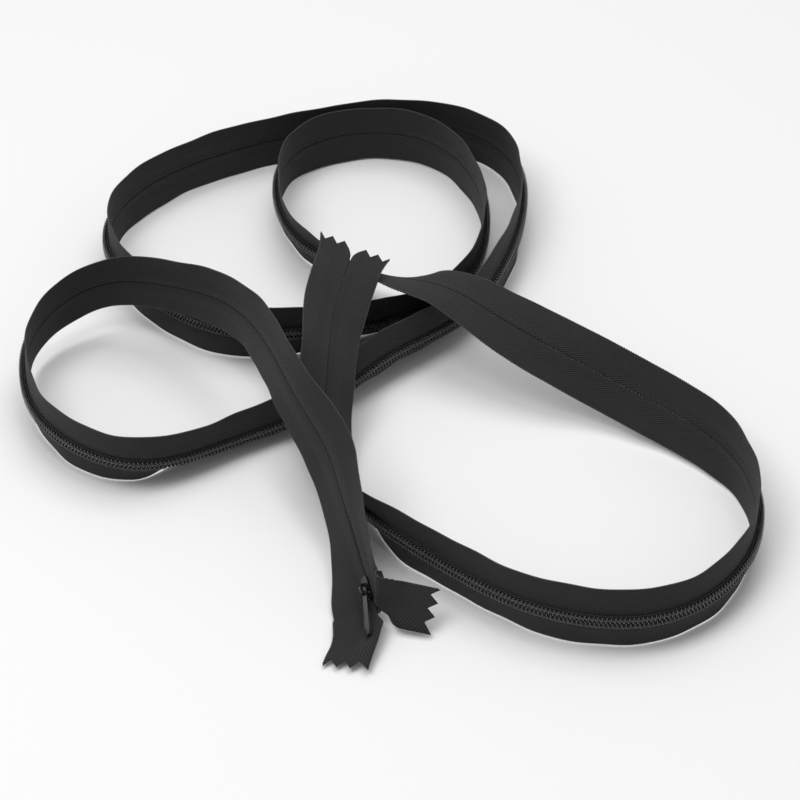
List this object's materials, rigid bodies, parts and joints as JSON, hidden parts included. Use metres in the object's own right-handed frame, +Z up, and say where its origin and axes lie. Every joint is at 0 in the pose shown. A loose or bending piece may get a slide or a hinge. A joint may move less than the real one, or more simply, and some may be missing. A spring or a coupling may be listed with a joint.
{
  "type": "concealed coil zipper",
  "caption": "Long concealed zipper lying in loose loops: two woven tapes joined by nylon coils, with stops, a slider that travels on a straight run, and a swinging pull.",
  "frame": {"origin": "on the floor under the middle of the whole coiled zipper", "axes": "+Z up; +X to the right and +Y away, seen from the slider's end of the zipper"},
  "size_m": [0.2732, 0.3174, 0.0545],
  "materials": {
    "tape": "black woven polyester tape",
    "coil": "black nylon monofilament",
    "cord": "black twisted filler cord",
    "thread": "black sewing thread",
    "stop": "black moulded stop",
    "slider": "glossy black enamel on die-cast zinc",
    "pull": "glossy black enamel on die-cast zinc"
  },
  "bodies": {
    "chain": {"left_tape": "tape", "right_tape": "tape", "left_coil": "coil", "right_coil": "coil", "left_cord": "cord", "right_cord": "cord", "left_stitching": "thread", "right_stitching": "thread", "bottom_stop": "stop"},
    "left_leg": {"left_tape_end": "tape", "left_coil_end": "coil", "left_cord_end": "cord", "left_stitching_end": "thread", "left_top_stop": "stop"},
    "right_leg": {"right_tape_end": "tape", "right_coil_end": "coil", "right_cord_end": "cord", "right_stitching_end": "thread", "right_top_stop": "stop"},
    "slider": {"slider_body": "slider"},
    "pull": {"pull_tab": "pull"}
  },
  "joints": [
    {"name": "slider_travel", "type": "slide", "parent": "chain", "child": "slider", "axis": [-0.2679, 0.8777, 0.3973], "range_m": [0, 0.02]},
    {"name": "left_part", "type": "hinge", "parent": "chain", "child": "left_leg", "pos_m": [-0.00815, -0.11328, 0.01615], "axis": [-0.8266, -0.4213, 0.3733], "range_deg": [0, 5]},
    {"name": "right_part", "type": "hinge", "parent": "chain", "child": "right_leg", "pos_m": [-0.00815, -0.11328, 0.01615], "axis": [-0.8266, -0.4213, 0.3733], "range_deg": [-2, 0]},
    {"name": "pull_swing", "type": "hinge", "parent": "slider", "child": "pull", "pos_m": [-0.00573, -0.12747, 0.01086], "axis": [-0.495, 0.2284, -0.8384], "range_deg": [0, 150]}
  ],
  "couplings": [
    {"joint": "left_part", "follows": "slider_travel", "rad_per_m": 4.36},
    {"joint": "right_part", "follows": "slider_travel", "rad_per_m": -1.74}
  ]
}
